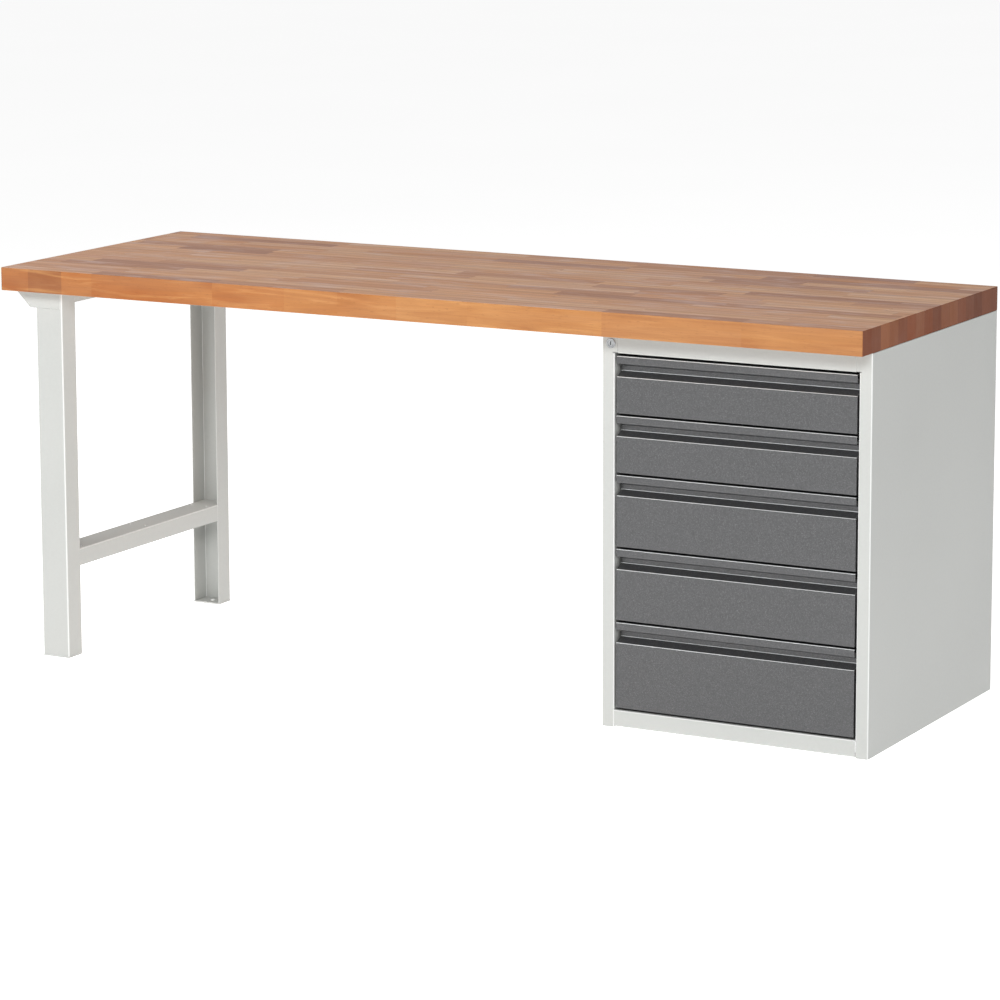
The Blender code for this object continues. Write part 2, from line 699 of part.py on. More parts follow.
build_worktop()
build_leg("front", FRAME_FRONT, 1)
build_leg("rear", FRAME_BACK, -1)
build_stretcher()
build_top_bearer()
build_cabinet()
for drawer_number, (drawer_top, drawer_room) in enumerate(DRAWERS, 1):
    build_drawer(drawer_number, drawer_top, drawer_room)
build_lock_housing()
build_lock_plug()
build_lock_rod()
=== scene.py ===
import json
import math

import bmesh
import bpy
from mathutils import Matrix, Vector


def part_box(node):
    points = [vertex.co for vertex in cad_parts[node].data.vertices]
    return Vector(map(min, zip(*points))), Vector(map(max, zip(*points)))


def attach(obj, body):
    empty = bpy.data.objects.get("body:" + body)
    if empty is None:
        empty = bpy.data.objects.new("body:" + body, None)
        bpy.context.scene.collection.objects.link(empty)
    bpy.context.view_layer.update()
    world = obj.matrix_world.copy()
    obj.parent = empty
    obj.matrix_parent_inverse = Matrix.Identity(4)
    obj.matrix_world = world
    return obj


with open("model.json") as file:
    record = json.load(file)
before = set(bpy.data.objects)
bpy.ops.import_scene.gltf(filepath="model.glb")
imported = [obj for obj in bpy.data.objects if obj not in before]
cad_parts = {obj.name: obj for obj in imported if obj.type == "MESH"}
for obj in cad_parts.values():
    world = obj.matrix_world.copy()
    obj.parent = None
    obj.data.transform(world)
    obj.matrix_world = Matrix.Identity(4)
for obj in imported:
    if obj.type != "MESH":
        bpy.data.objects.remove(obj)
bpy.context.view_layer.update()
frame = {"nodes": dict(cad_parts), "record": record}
NODES = frame["nodes"]

DRAWERS = (1, 2, 3, 4, 5)
SIDES = ("left", "right")

# Worktop staves, metres
WORKTOP_HALF_LENGTH = 1.0
WORKTOP_HALF_DEPTH = 0.35
STAVE_WIDTH = 0.0438
SHORTEST_STAVE = 0.21
LONGEST_STAVE = 0.38

# The count of rows from the front edge is held between these, so the edges make no row of their own
FIRST_ROW = 0.02
LAST_ROW = 15.9

# Rivets of the trays, metres; the shares are of the tray's depth
TRAY_INNER_FACE = 0.00125  # from the outer face: the sheet and a hair's gap
RIVET_RADIUS = 0.0042
RIVET_HEIGHT = 0.0014
RIVET_SHARES = (0.06, 0.36, 0.66, 0.94)

# Ball rows of the slides, metres
SLIDE_SHEET = 0.0012
BALL_CLEARANCE = 0.00012
BALLS_IN_ROW = 14
BALL_STEP = 0.011
FIRST_BALL = 0.012

# Screws of the top bearer, metres
BEARER_INNER_FACE = 0.0021  # from the outer face: the sheet and a hair's gap
SCREW_PLACES_X = (-0.915, -0.960)
SCREW_PLACES_Y = (-0.20, 0.005, 0.21)
SCREW_ACROSS = 0.010
SCREW_HEIGHT = 0.0052

# Finish of the CAD solids: metres, and the angle at which an edge counts as sharp
WELD_DISTANCE = 0.00001
SMOOTH_ANGLE = math.radians(42)
BEVEL_ANGLE = math.radians(50)
EDGE_WIDTHS = {
    "beech": 0.0004, "light_grey_coat": 0.0004, "anthracite_coat": 0.0003, "zinc": 0.0002,
    "chrome": 0.0,
}

# Camera: metres, radians and millimetres of lens
CAMERA_PLACE = (3.8722, -7.0716, 1.9482)
CAMERA_YAW = 0.4982
CAMERA_PITCH = 0.1621
CAMERA_ROLL = -0.0029
CAMERA_LENS = 139.6
CAMERA_SENSOR = 36.0
CAMERA_SHIFT_Y = -0.12
CAMERA_REACH = 200.0

# Floor and lights. Each light: name, place, target, width, height, watts
FLOOR_RADIUS = 60.0
FLOOR_GAP = 0.0005
FLOOR_GLOW = 0.78
WORLD_STRENGTH = 0.18
LIGHTS = (
    ("key", (2.6, -5.2, 3.9), (0.0, 0.0, 0.5), 3.2, 2.2, 235.0),
    ("front_left_strip", (-2.4, -4.2, 3.3), (0.2, -0.2, 0.5), 2.4, 0.8, 79.0),
    ("overhead", (0.0, 0.2, 4.0), (0.0, 0.0, 0.8), 3.2, 1.6, 9.0),
    ("back_softbox", (-1.8, 5.0, 2.7), (0.0, 0.0, 0.8), 6.5, 2.2, 14.0),
    ("left_softbox", (-4.2, 0.9, 3.0), (-0.9, 0.0, 0.3), 2.4, 1.4, 55.0),
)

# Colours of the beech, linear RGB
TOP_TONES = (
    (0.0, (0.460, 0.235, 0.170)), (0.15, (0.560, 0.290, 0.185)), (0.32, (0.740, 0.385, 0.215)),
    (0.64, (0.830, 0.465, 0.265)), (0.86, (0.880, 0.540, 0.330)), (1.0, (0.700, 0.330, 0.165)),
)
EDGE_STAVES = (
    (0.0, (0.36, 0.108, 0.025)), (0.035, (0.24, 0.064, 0.016)), (0.075, (0.39, 0.122, 0.026)),
    (0.355, (0.42, 0.154, 0.038)), (0.485, (0.46, 0.195, 0.058)), (0.73, (0.45, 0.192, 0.056)),
)
END_TONES = (
    (0.0, (0.105, 0.030, 0.015)), (0.35, (0.240, 0.062, 0.018)), (0.7, (0.170, 0.056, 0.028)),
    (1.0, (0.330, 0.108, 0.036)),
)
CLOUD = (0.66, 0.41, 0.33)
# painted sheen: the pale colour laid over the top to stand for light reflected off it
PAINTED_SHEEN = (0.87, 0.70, 0.66)
DARK_FLAME = (0.30, 0.090, 0.022)
LIGHT_FLAME = (0.62, 0.305, 0.105)
RING = (0.34, 0.125, 0.045)
LONG_GRAIN = (0.36, 0.17, 0.085)
FIBRE = (0.20, 0.085, 0.040)
FLECK = (0.13, 0.050, 0.022)
END_STREAK = (0.38, 0.16, 0.08)
END_PORE = (0.11, 0.040, 0.022)
BARE_UNDERSIDE = (0.50, 0.45, 0.40)
GLUE = (0.10, 0.040, 0.018)

# Colours of the coats and metals, linear RGB
GREY_COAT = (0.496, 0.505, 0.486)
# painted highlight: the pale colour that the light grey coat's bends are lightened toward
GREY_COAT_PAINTED_HIGHLIGHT = (0.88, 0.89, 0.88)
ANTHRACITE_TONES = (
    (0.28, (0.070, 0.071, 0.073)), (0.5, (0.084, 0.085, 0.087)), (0.74, (0.100, 0.101, 0.104)),
)
ANTHRACITE_FLAKES = (0.26, 0.26, 0.27)
ANTHRACITE_DRIFT = (0.10, 0.10, 0.105)
# painted highlight: the near-white colour that the anthracite coat's bends are lightened toward
ANTHRACITE_PAINTED_HIGHLIGHT = (0.93, 0.96, 0.96)
ZINC_TONES = (
    (0.3, (0.46, 0.475, 0.49)), (0.55, (0.60, 0.615, 0.63)), (0.8, (0.70, 0.705, 0.70)),
)
CHROME_TONES = ((0.3, (0.27, 0.275, 0.28)), (0.7, (0.42, 0.425, 0.43)))
BALL_TONES = ((0.3, (0.50, 0.50, 0.50)), (0.7, (0.72, 0.72, 0.73)))
FLOOR_TONES = ((0.3, (0.90, 0.90, 0.90)), (0.7, (0.93, 0.93, 0.93)))


# ---------------------------------------------------------------- node helpers

class Nodes:
    """A short way to write a material's node tree."""

    def __init__(self, name):
        self.material = bpy.data.materials.new(name)
        self.material.use_nodes = True
        self.tree = self.material.node_tree
        self.tree.nodes.clear()
        self.out = self.tree.nodes.new("ShaderNodeOutputMaterial")
        self.shader = self.tree.nodes.new("ShaderNodeBsdfPrincipled")
        self.join(self.shader.outputs[0], self.out.inputs["Surface"])

    def join(self, source, target):
        self.tree.links.new(source, target)

    def put(self, target, value):
        if isinstance(value, bpy.types.NodeSocket):
            self.join(value, target)
        else:
            target.default_value = value

    def add(self, kind, **settings):
        made = self.tree.nodes.new(kind)
        for key, value in settings.items():
            setattr(made, key, value)
        return made

    def math(self, operation, *values):
        made = self.add("ShaderNodeMath", operation=operation)
        for socket, value in zip(made.inputs, values):
            self.put(socket, value)
        return made.outputs[0]

    def vector(self, x, y, z):
        made = self.add("ShaderNodeCombineXYZ")
        for socket, value in zip(made.inputs, (x, y, z)):
            self.put(socket, value)
        return made.outputs[0]

    def scaled(self, vector, scale, shift=None):
        made = self.add("ShaderNodeVectorMath", operation="MULTIPLY")
        self.put(made.inputs[0], vector)
        made.inputs[1].default_value = scale
        if shift is None:
            return made.outputs[0]
        moved = self.add("ShaderNodeVectorMath", operation="ADD")
        self.join(made.outputs[0], moved.inputs[0])
        self.put(moved.inputs[1], shift)
        return moved.outputs[0]

    def object_place(self):
        return self.add("ShaderNodeTexCoord").outputs["Object"]

    def object_normal(self):
        return self.add("ShaderNodeTexCoord").outputs["Normal"]

    def split(self, vector):
        made = self.add("ShaderNodeSeparateXYZ")
        self.put(made.inputs[0], vector)
        return made.outputs

    def noise(self, vector, scale, detail=2.0, roughness=0.5, distortion=0.0):
        made = self.add("ShaderNodeTexNoise")
        self.put(made.inputs["Vector"], vector)
        made.inputs["Scale"].default_value = scale
        made.inputs["Detail"].default_value = detail
        made.inputs["Roughness"].default_value = roughness
        made.inputs["Distortion"].default_value = distortion
        return made.outputs["Fac"]

    def random(self, vector):
        """A random value and a random colour for each different vector."""
        made = self.add("ShaderNodeTexWhiteNoise", noise_dimensions="3D")
        self.put(made.inputs["Vector"], vector)
        return made.outputs["Value"], made.outputs["Color"]

    def spread(self, value, from_low, from_high, to_low, to_high):
        """Map one range of values to another, and hold it at the ends."""
        made = self.add("ShaderNodeMapRange")
        self.put(made.inputs["Value"], value)
        made.inputs["From Min"].default_value = from_low
        made.inputs["From Max"].default_value = from_high
        made.inputs["To Min"].default_value = to_low
        made.inputs["To Max"].default_value = to_high
        return made.outputs["Result"]

    def mix(self, factor, first, second):
        made = self.add("ShaderNodeMix", data_type="RGBA", blend_type="MIX")
        self.put(made.inputs[0], factor)
        for socket, value in ((made.inputs[6], first), (made.inputs[7], second)):
            if isinstance(value, tuple):
                value = (*value, 1.0)
            self.put(socket, value)
        return made.outputs[2]

    def ramp(self, factor, stops, interpolation="LINEAR"):
        made = self.add("ShaderNodeValToRGB")
        self.put(made.inputs[0], factor)
        ramp = made.color_ramp
        ramp.interpolation = interpolation
        while len(ramp.elements) < len(stops):
            ramp.elements.new(1.0)
        for element, (place, color) in zip(ramp.elements, stops):
            element.position = place
            element.color = (*color, 1.0)
        return made.outputs["Color"]

    def bump(self, height, strength, distance):
        made = self.add("ShaderNodeBump")
        self.put(made.inputs["Height"], height)
        made.inputs["Strength"].default_value = strength
        made.inputs["Distance"].default_value = distance
        return made.outputs["Normal"]

    def painted_bend_highlight(self, start, full):
        """Mask for a painted highlight: 1 on a folded bend, and 0 on the flat faces beside it.

        The largest part of the normal is 1 on a flat face. The mask sets in where it has fallen
        to start, and is 1 where it has fallen to full. Faces that look down get no painted highlight.
        """
        parts = self.add("ShaderNodeVectorMath", operation="ABSOLUTE")
        self.join(self.object_normal(), parts.inputs[0])
        x, y, z = self.split(parts.outputs[0])
        largest = self.math("MAXIMUM", self.math("MAXIMUM", x, y), z)
        bend = self.spread(largest, start, full, 0.0, 1.0)
        upward = self.split(self.object_normal())[2]
        return self.math("MULTIPLY", bend, self.spread(upward, -0.25, 0.05, 0.0, 1.0))

    def set(self, **inputs):
        """Set the shader's sockets. An underscore stands for a space in a socket's name."""
        for key, value in inputs.items():
            self.put(self.shader.inputs[key.replace("_", " ")], value)


# ---------------------------------------------------------------- beech

def beech_layout(n, x, y):
    """Rows across the depth, each cut into staves of its own length, with a tone and a tint each."""
    row_place = n.math("DIVIDE", n.math("ADD", y, WORKTOP_HALF_DEPTH), STAVE_WIDTH)
    row = n.math("FLOOR", n.math("MINIMUM", n.math("MAXIMUM", row_place, FIRST_ROW), LAST_ROW))
    length_random, _ = n.random(n.vector(row, 3.7, 1.1))
    shift_random, _ = n.random(n.vector(row, 8.3, 5.9))
    length = n.spread(length_random, 0, 1, SHORTEST_STAVE, LONGEST_STAVE)
    stave_place = n.math("ADD", n.math("DIVIDE", x, length), n.math("MULTIPLY", shift_random, 7.0))
    tone, tint = n.random(n.vector(row, n.math("FLOOR", stave_place), 2.5))
    return row_place, stave_place, length, tone, tint


def beech_rings(n, place, shift):
    """Year rings: a slow wave across the grain, drawn out along it into flames."""
    wave = n.add("ShaderNodeTexWave", bands_direction="Y", wave_profile="SIN")
    n.put(wave.inputs["Vector"], n.scaled(place, (0.35, 9.0, 9.0), shift))
    wave.inputs["Scale"].default_value = 1.3
    wave.inputs["Distortion"].default_value = 5.5
    wave.inputs["Detail"].default_value = 2.0
    wave.inputs["Detail Scale"].default_value = 1.2
    return wave.outputs["Fac"]


def beech_top(n, place, tone, tint, clouds):
    """The flat faces: each stave's tone, with pink clouds and a painted pale sheen over it."""
    sheen_place = n.scaled(place, (9.0, 34.0, 34.0), n.scaled(tint, (2.0, 2.0, 2.0)))
    haze = n.noise(sheen_place, 1.0, 3.0, 0.6, 0.3)
    color = n.ramp(tone, TOP_TONES)
    color = n.mix(n.spread(clouds, 0.42, 0.70, 0.0, 0.40), color, CLOUD)
    # painted sheen: pale patches that stand for light reflected off the oiled top
    return n.mix(n.spread(haze, 0.50, 0.74, 0.0, 0.55), color, PAINTED_SHEEN)


def beech_edge(n, place, x, clouds):
    """The long front and back edges: six staves with dark and light flames."""
    along = n.spread(x, -WORKTOP_HALF_LENGTH, WORKTOP_HALF_LENGTH, 0.0, 1.0)
    flame = n.noise(n.scaled(place, (2.6, 30.0, 34.0), n.vector(0.0, 4.1, 7.3)), 1.0, 3.0, 0.5, 2.6)
    color = n.ramp(along, EDGE_STAVES, "CONSTANT")
    color = n.mix(n.spread(flame, 0.50, 0.66, 0.0, 0.42), color, DARK_FLAME)
    color = n.mix(n.spread(flame, 0.44, 0.30, 0.0, 0.45), color, LIGHT_FLAME)
    return n.mix(n.spread(clouds, 0.4, 0.75, 0.0, 0.40), color, LIGHT_FLAME)


def beech_end(n, place, shift, tone):
    """The sawn ends: dark, with fine streaks and pores."""
    pores = n.noise(n.scaled(place, (900.0, 260.0, 900.0)), 1.0, 2.0, 0.6)
    streaks = n.noise(n.scaled(place, (10.0, 330.0, 12.0), shift), 1.0, 2.0, 0.5)
    color = n.ramp(tone, END_TONES)
    color = n.mix(n.spread(streaks, 0.35, 0.75, 0.0, 0.16), color, END_STREAK)
    return n.mix(n.spread(pores, 0.45, 0.75, 0.0, 0.35), color, END_PORE)


def glue_lines(n, row_place, stave_place, length, is_edge, is_end):
    """1 on the joints between rows, and between the ends of the staves on the flat faces."""
    row_line = n.math("LESS_THAN", n.math("PINGPONG", row_place, 0.5), 0.0075)
    row_line = n.math("MULTIPLY", row_line, n.math("SUBTRACT", 1.0, is_edge))
    from_joint = n.math("MULTIPLY", n.math("PINGPONG", stave_place, 0.5), length)
    end_line = n.math("LESS_THAN", from_joint, 0.0003)
    is_flat = n.math("SUBTRACT", 1.0, n.math("MAXIMUM", is_edge, is_end))
    return n.math("MAXIMUM", row_line, n.math("MULTIPLY", end_line, is_flat))


def beech_material():
    """Oiled beech, glued from staves that each have their own tone and grain."""
    n = Nodes("beech_staves")
    place = n.object_place()
    x, y, _ = n.split(place)
    normal_x, normal_y, normal_z = n.split(n.object_normal())
    row_place, stave_place, length, tone, tint = beech_layout(n, x, y)
    is_end = n.math("GREATER_THAN", n.math("ABSOLUTE", normal_x), 0.6)
    is_edge = n.math("GREATER_THAN", n.math("ABSOLUTE", normal_y), 0.6)
    is_under = n.math("LESS_THAN", normal_z, -0.6)

    shift = n.scaled(tint, (9.0, 9.0, 9.0))
    long_grain = n.noise(n.scaled(place, (1.6, 26.0, 26.0), shift), 1.0, 5.0, 0.6, 0.6)
    fibres = n.noise(n.scaled(place, (14.0, 420.0, 420.0), shift), 1.0, 3.0, 0.6)
    clouds = n.noise(n.scaled(place, (3.2, 11.0, 11.0), shift), 1.0, 3.0, 0.55, 0.8)
    flecks = n.noise(n.scaled(place, (70.0, 900.0, 900.0)), 1.0, 1.0, 0.4)
    rings = beech_rings(n, place, shift)

    color = n.mix(is_edge, beech_top(n, place, tone, tint, clouds), beech_edge(n, place, x, clouds))
    color = n.mix(n.spread(rings, 0.35, 0.95, 0.0, 0.26), color, RING)
    color = n.mix(n.spread(long_grain, 0.35, 0.75, 0.0, 0.30), color, LONG_GRAIN)
    color = n.mix(n.spread(fibres, 0.40, 0.80, 0.0, 0.22), color, FIBRE)
    color = n.mix(n.spread(flecks, 0.66, 0.74, 0.0, 0.45), color, FLECK)
    color = n.mix(is_end, color, beech_end(n, place, shift, tone))
    color = n.mix(n.math("MULTIPLY", is_under, 0.6), color, BARE_UNDERSIDE)
    line = glue_lines(n, row_place, stave_place, length, is_edge, is_end)
    color = n.mix(n.math("MULTIPLY", line, 0.35), color, GLUE)

    smear = n.noise(n.scaled(place, (5.0, 18.0, 18.0)), 1.0, 3.0, 0.6, 0.4)
    roughness = n.spread(smear, 0.3, 0.7, 0.42, 0.55)
    roughness = n.math("ADD", roughness, n.math("MULTIPLY", is_end, 0.18))
    height = n.math("SUBTRACT", n.math("MULTIPLY", fibres, -0.6), n.math("MULTIPLY", line, 1.2))
    n.set(
        Base_Color=color, Roughness=roughness, Specular_IOR_Level=0.32,
        Normal=n.bump(height, 0.25, 0.00015),
    )
    return n.material


# ---------------------------------------------------------------- coats, metals and floor

def light_grey_material():
    """Smooth powder coat: slight orange peel, a faint drift in its tone, painted highlights on bends.
    """
    n = Nodes("light_grey_coat_fine")
    place = n.object_place()
    drift = n.noise(place, 2.3)
    mottle = n.noise(place, 160.0, 2.0, 0.6)
    grain = n.noise(place, 420.0, 3.0, 0.55)
    fine = n.noise(place, 1500.0, 1.0)
    darker = tuple(part * 0.955 for part in GREY_COAT)
    lighter = tuple(part * 1.03 for part in GREY_COAT)
    tone = n.math("ADD", n.math("MULTIPLY", drift, 0.6), n.math("MULTIPLY", mottle, 0.4))
    base = n.ramp(tone, ((0.30, darker), (0.52, GREY_COAT), (0.72, lighter)))
    # painted highlight: bends that face up or sideways are lightened toward a pale colour
    bends = n.math("MULTIPLY", n.painted_bend_highlight(0.985, 0.93), 0.8)
    base = n.mix(bends, base, GREY_COAT_PAINTED_HIGHLIGHT)
    height = n.math("ADD", grain, n.math("MULTIPLY", fine, 0.25))
    n.set(
        Base_Color=base, Roughness=n.spread(grain, 0.3, 0.7, 0.34, 0.43),
        Specular_IOR_Level=0.5, Normal=n.bump(height, 0.14, 0.00012),
    )
    return n.material


def anthracite_material():
    """Anthracite metallic coat: dark ground, fine bright flakes, light texture, painted bend
    highlights.
    """
    n = Nodes("anthracite_flake_coat")
    place = n.object_place()
    drift = n.noise(place, 3.1)
    grit = n.noise(place, 260.0, 3.0, 0.72)
    flake = n.add("ShaderNodeTexVoronoi", feature="F1")
    n.put(flake.inputs["Vector"], place)
    flake.inputs["Scale"].default_value = 1100.0
    flake_value, _ = n.random(flake.outputs["Position"])
    base = n.ramp(grit, ANTHRACITE_TONES)
    base = n.mix(n.spread(flake_value, 0.80, 1.0, 0.0, 0.45), base, ANTHRACITE_FLAKES)
    base = n.mix(n.spread(drift, 0.35, 0.70, 0.0, 0.10), base, ANTHRACITE_DRIFT)
    # painted highlight: bends that face up or sideways are lightened almost to white
    base = n.mix(n.painted_bend_highlight(0.897, 0.875), base, ANTHRACITE_PAINTED_HIGHLIGHT)
    height = n.math("ADD", grit, n.math("MULTIPLY", flake_value, 0.35))
    n.set(
        Base_Color=base, Metallic=0.6, Roughness=n.spread(flake_value, 0.0, 1.0, 0.50, 0.36),
        Specular_IOR_Level=0.5, Coat_Weight=0.4, Coat_Roughness=0.22,
        Normal=n.bump(height, 0.18, 0.00012),
    )
    return n.material


def zinc_material():
    """Zinc-plated steel: brushed along the slide, with soft grey blooms."""
    n = Nodes("zinc_plate")
    place = n.object_place()
    brush = n.noise(n.scaled(place, (500.0, 6.0, 500.0)), 1.0, 3.0, 0.6)
    bloom = n.noise(place, 38.0, 3.0, 0.6, 0.6)
    rough = n.math("ADD", n.spread(bloom, 0.3, 0.7, 0.26, 0.40), n.math("MULTIPLY", brush, 0.06))
    n.set(
        Base_Color=n.ramp(bloom, ZINC_TONES), Metallic=1.0, Roughness=rough,
        Normal=n.bump(brush, 0.12, 0.0001),
    )
    return n.material


def chrome_material():
    """Polished chrome with fine polishing marks and the haze of handling."""
    n = Nodes("polished_chrome")
    place = n.object_place()
    marks = n.noise(place, 900.0, 2.0, 0.6)
    haze = n.noise(place, 130.0, 3.0, 0.6)
    n.set(
        Base_Color=n.ramp(haze, CHROME_TONES), Metallic=1.0,
        Roughness=n.spread(haze, 0.3, 0.75, 0.10, 0.24), Normal=n.bump(marks, 0.08, 0.00008),
    )
    return n.material


def ball_steel_material():
    """Bearing balls under a thin film of oil."""
    n = Nodes("bearing_steel")
    film = n.noise(n.object_place(), 300.0)
    n.set(
        Base_Color=n.ramp(film, BALL_TONES), Metallic=1.0,
        Roughness=n.spread(film, 0.3, 0.7, 0.12, 0.22),
    )
    return n.material


def floor_material():
    """A pale studio floor that glows, so that it stays white to the horizon."""
    n = Nodes("pale_floor")
    soft = n.noise(n.object_place(), 0.8)
    n.set(
        Base_Color=n.ramp(soft, FLOOR_TONES), Roughness=0.9, Specular_IOR_Level=0.1,
        Emission_Color=(1.0, 1.0, 1.0, 1.0), Emission_Strength=FLOOR_GLOW,
    )
    return n.material


ZINC = zinc_material()
BALL_STEEL = ball_steel_material()
SLOT_MATERIALS = {
    "beech": beech_material(), "light_grey_coat": light_grey_material(),
    "anthracite_coat": anthracite_material(), "zinc": ZINC, "chrome": chrome_material(),
}


# ---------------------------------------------------------------- CAD nodes: bends and edges

def smooth_bends_group():
    """Geometry nodes that weld a faceted solid and shade its bends smooth, with real edges sharp."""
    group = bpy.data.node_groups.new("smooth_bends", "GeometryNodeTree")
    group.interface.new_socket("Geometry", in_out="INPUT", socket_type="NodeSocketGeometry")
    group.interface.new_socket("Geometry", in_out="OUTPUT", socket_type="NodeSocketGeometry")
    start = group.nodes.new("NodeGroupInput")
    end = group.nodes.new("NodeGroupOutput")
    plain = group.nodes.new("GeometryNodeRemoveAttribute")
    plain.inputs["Name"].default_value = "custom_normal"
    weld = group.nodes.new("GeometryNodeMergeByDistance")
    weld.inputs["Distance"].default_value = WELD_DISTANCE
    faces = group.nodes.new("GeometryNodeSetShadeSmooth")
    faces.domain = "FACE"
    angle = group.nodes.new("GeometryNodeInputMeshEdgeAngle")
    steep = group.nodes.new("FunctionNodeCompare")
    steep.operation = "GREATER_THAN"
    steep.inputs[1].default_value = SMOOTH_ANGLE
    edges = group.nodes.new("GeometryNodeSetShadeSmooth")
    edges.domain = "EDGE"
    edges.inputs["Shade Smooth"].default_value = False
    link = group.links.new
    link(start.outputs[0], plain.inputs["Geometry"])
    link(plain.outputs[0], weld.inputs["Geometry"])
    link(weld.outputs[0], faces.inputs["Geometry"])
    link(faces.outputs[0], edges.inputs["Geometry"])
    link(angle.outputs["Unsigned Angle"], steep.inputs[0])
    link(steep.outputs[0], edges.inputs["Selection"])
    link(edges.outputs[0], end.inputs[0])
    return group


def finish_solid(obj, group, edge_width):
    """Round the cut edges a little and shade the bends smooth, without touching the mesh itself."""
    weld = obj.modifiers.new("smooth bends", "NODES")
    weld.node_group = group
    if edge_width:
        bevel = obj.modifiers.new("broken edges", "BEVEL")
        bevel.width = edge_width
        bevel.segments = 2
        bevel.limit_method = "ANGLE"
        bevel.angle_limit = BEVEL_ANGLE
        bevel.use_clamp_overlap = True
    normals = obj.modifiers.new("even normals", "WEIGHTED_NORMAL")
    normals.keep_sharp = True
    normals.weight = 100


def finish_solids():
    """Give every CAD node its slot's material and its edges."""
    group = smooth_bends_group()
    for part in frame["record"]["subparts"]:
        node = NODES[part["node"]]
        node.data.materials.clear()
        node.data.materials.append(SLOT_MATERIALS[part["material_slot"]])
        finish_solid(node, group, EDGE_WIDTHS[part["material_slot"]])


# ---------------------------------------------------------------- added pieces

def new_piece(name, bm, body, material, smooth_angle=40):
    """Make an object from bm that rides on body. Edges above smooth_angle, in degrees, stay sharp."""
    mesh = bpy.data.meshes.new(name)
    bmesh.ops.recalc_face_normals(bm, faces=bm.faces)
    bm.to_mesh(mesh)
    bm.free()
    mesh.materials.append(material)
    obj = bpy.data.objects.new(name, mesh)
    bpy.context.scene.collection.objects.link(obj)
    mesh.shade_smooth()
    mesh.set_sharp_from_angle(angle=math.radians(smooth_angle))
    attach(obj, body)


def turned(bm, profile, place, axis, steps):
    """Add a turned body. The profile lists (radius, height) from the axis back to the axis."""
    turn = Vector((0, 0, 1)).rotation_difference(Vector(axis)).to_matrix().to_4x4()
    matrix = Matrix.Translation(Vector(place)) @ turn
    rings = []
    for radius, height in profile:
        if radius == 0:
            rings.append([bm.verts.new(matrix @ Vector((0, 0, height)))])
            continue
        ring = []
        for step in range(steps):
            angle = 2 * math.pi * step / steps
            point = Vector((radius * math.cos(angle), radius * math.sin(angle), height))
            ring.append(bm.verts.new(matrix @ point))
        rings.append(ring)
    for lower, upper in zip(rings, rings[1:]):
        for step in range(steps):
            ahead = (step + 1) % steps
            if len(lower) == 1:
                bm.faces.new((lower[0], upper[step], upper[ahead]))
            elif len(upper) == 1:
                bm.faces.new((lower[step], upper[0], lower[ahead]))
            else:
                bm.faces.new((lower[step], upper[step], upper[ahead], lower[ahead]))


def rivet_profile(radius, height):
    """A domed head with a small dimple in its middle, closed underneath."""
    shares = (
        (0, 0), (1, 0), (0.96, 0.3), (0.8, 0.68), (0.5, 0.93), (0.3, 1), (0.27, 0.45), (0, 0.4),
    )
    return [(radius * across, height * up) for across, up in shares]


def hex_head(bm, place, axis, across, height):
    """A hexagon head with a chamfered top on a round flange."""
    flange_top = height * 0.22
    flange = (
        (0, 0), (across * 0.86, 0), (across * 0.86, height * 0.16), (across * 0.6, flange_top),
        (0, flange_top),
    )
    turned(bm, flange, place, axis, 28)
    corner = across / math.sqrt(3)
    head = (
        (0, flange_top), (corner, flange_top), (corner, height * 0.9), (corner * 0.84, height),
        (0, height),
    )
    turned(bm, head, place, axis, 6)


def drawer_rivets(number):
    """Rivets through the tray's side walls into the inner slides, seen inside the open drawer."""
    low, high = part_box(f"drawer_{number}_box")
    slide_low, slide_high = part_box(f"drawer_{number}_inner_slide_left")
    middle = (slide_low.z + slide_high.z) / 2
    profile = rivet_profile(RIVET_RADIUS, RIVET_HEIGHT)
    bm = bmesh.new()
    for x, facing in ((low.x + TRAY_INNER_FACE, 1), (high.x - TRAY_INNER_FACE, -1)):
        for share in RIVET_SHARES:
            turned(bm, profile, (x, low.y + (high.y - low.y) * share, middle), (facing, 0, 0), 16)
    new_piece(f"drawer_{number}_rivets", bm, f"drawer_{number}", ZINC)


def slide_balls(number):
    """Ball rows between the slide members, in the races above and below each pair."""
    bm = bmesh.new()
    for side in SIDES:
        outer_low, outer_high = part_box(f"drawer_{number}_fixed_slide_{side}")
        mid_low, mid_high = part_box(f"drawer_{number}_middle_slide_{side}")
        inner_low, inner_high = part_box(f"drawer_{number}_inner_slide_{side}")
        x = (mid_low.x + mid_high.x) / 2
        for upper, lower in (
            (outer_high.z - SLIDE_SHEET, mid_high.z), (mid_low.z, outer_low.z + SLIDE_SHEET),
            (mid_high.z - SLIDE_SHEET, inner_high.z), (inner_low.z, mid_low.z + SLIDE_SHEET),
        ):
            radius = (upper - lower) / 2 - BALL_CLEARANCE
            z = (upper + lower) / 2
            for step in range(BALLS_IN_ROW):
                y = mid_low.y + FIRST_BALL + step * BALL_STEP
                bmesh.ops.create_icosphere(
                    bm, subdivisions=1, radius=radius, matrix=Matrix.Translation((x, y, z))
                )
    body = f"drawer_{number}_middle_slides"
    new_piece(f"drawer_{number}_slide_balls", bm, body, BALL_STEEL, 180)


def bearer_screws():
    """Hexagon screws that hold the worktop, seen from below inside the top bearer."""
    _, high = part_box("top_bearer")
    bm = bmesh.new()
    for x in SCREW_PLACES_X:
        for y in SCREW_PLACES_Y:
            hex_head(bm, (x, y, high.z - BEARER_INNER_FACE), (0, 0, -1), SCREW_ACROSS, SCREW_HEIGHT)
    new_piece("bearer_screws", bm, "bench", ZINC, 30)


# ---------------------------------------------------------------- floor, light, camera

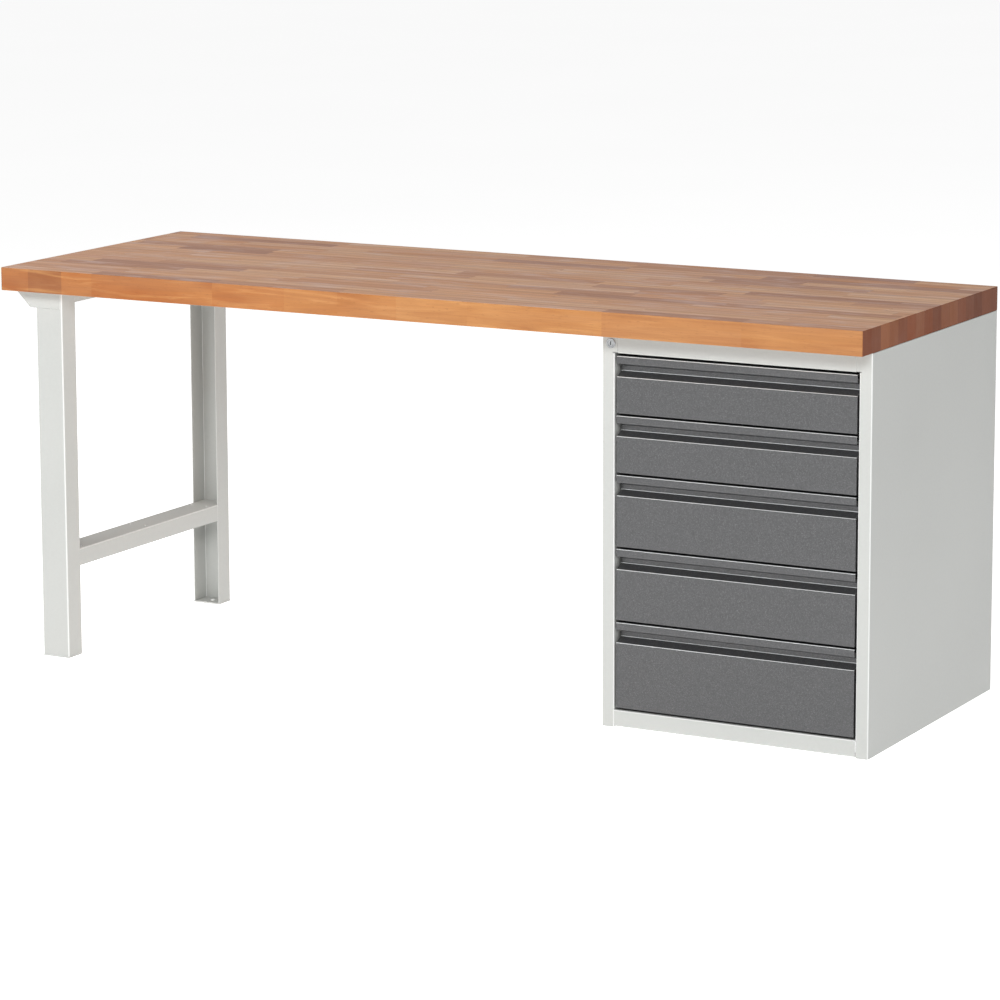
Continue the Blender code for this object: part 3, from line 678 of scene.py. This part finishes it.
def add_floor():
    bm = bmesh.new()
    bmesh.ops.create_circle(bm, cap_ends=True, segments=96, radius=FLOOR_RADIUS)
    mesh = bpy.data.meshes.new("floor")
    bm.to_mesh(mesh)
    bm.free()
    mesh.materials.append(floor_material())
    floor = bpy.data.objects.new("floor", mesh)
    floor.location = (0, 0, -FLOOR_GAP)
    bpy.context.scene.collection.objects.link(floor)


def add_area(name, place, target, width, height, power):
    """A rectangular softbox at place that faces target."""
    light = bpy.data.lights.new(name, "AREA")
    light.shape = "RECTANGLE"
    light.size = width
    light.size_y = height
    light.energy = power
    obj = bpy.data.objects.new(name, light)
    obj.location = place
    obj.rotation_mode = "QUATERNION"
    obj.rotation_quaternion = (Vector(target) - Vector(place)).to_track_quat("-Z", "Y")
    bpy.context.scene.collection.objects.link(obj)


def add_world():
    world = bpy.data.worlds.new("studio")
    world.use_nodes = True
    background = world.node_tree.nodes["Background"]
    background.inputs["Color"].default_value = (1.0, 1.0, 1.0, 1.0)
    background.inputs["Strength"].default_value = WORLD_STRENGTH
    bpy.context.scene.world = world


def add_camera():
    """A long lens at the right front, above the worktop's height."""
    forward = Vector((-math.sin(CAMERA_YAW), math.cos(CAMERA_YAW), 0.0))
    right = Vector((math.cos(CAMERA_YAW), math.sin(CAMERA_YAW), 0.0))
    up = Vector((0.0, 0.0, 1.0))
    look = forward * math.cos(CAMERA_PITCH) - up * math.sin(CAMERA_PITCH)
    tall = up * math.cos(CAMERA_PITCH) + forward * math.sin(CAMERA_PITCH)
    wide = right * math.cos(CAMERA_ROLL) + tall * math.sin(CAMERA_ROLL)
    tall = tall * math.cos(CAMERA_ROLL) - right * math.sin(CAMERA_ROLL)
    data = bpy.data.cameras.new("camera")
    data.lens = CAMERA_LENS
    data.sensor_width = CAMERA_SENSOR
    data.shift_y = CAMERA_SHIFT_Y
    data.clip_end = CAMERA_REACH
    camera = bpy.data.objects.new("camera", data)
    camera.rotation_mode = "QUATERNION"
    camera.rotation_quaternion = Matrix((wide, tall, -look)).transposed().to_quaternion()
    camera.location = CAMERA_PLACE
    bpy.context.scene.collection.objects.link(camera)
    bpy.context.scene.camera = camera


finish_solids()
for drawer in DRAWERS:
    drawer_rivets(drawer)
    slide_balls(drawer)
bearer_screws()
add_floor()
add_world()
for light in LIGHTS:
    add_area(*light)
add_camera()
bpy.context.scene.view_settings.view_transform = "Standard"
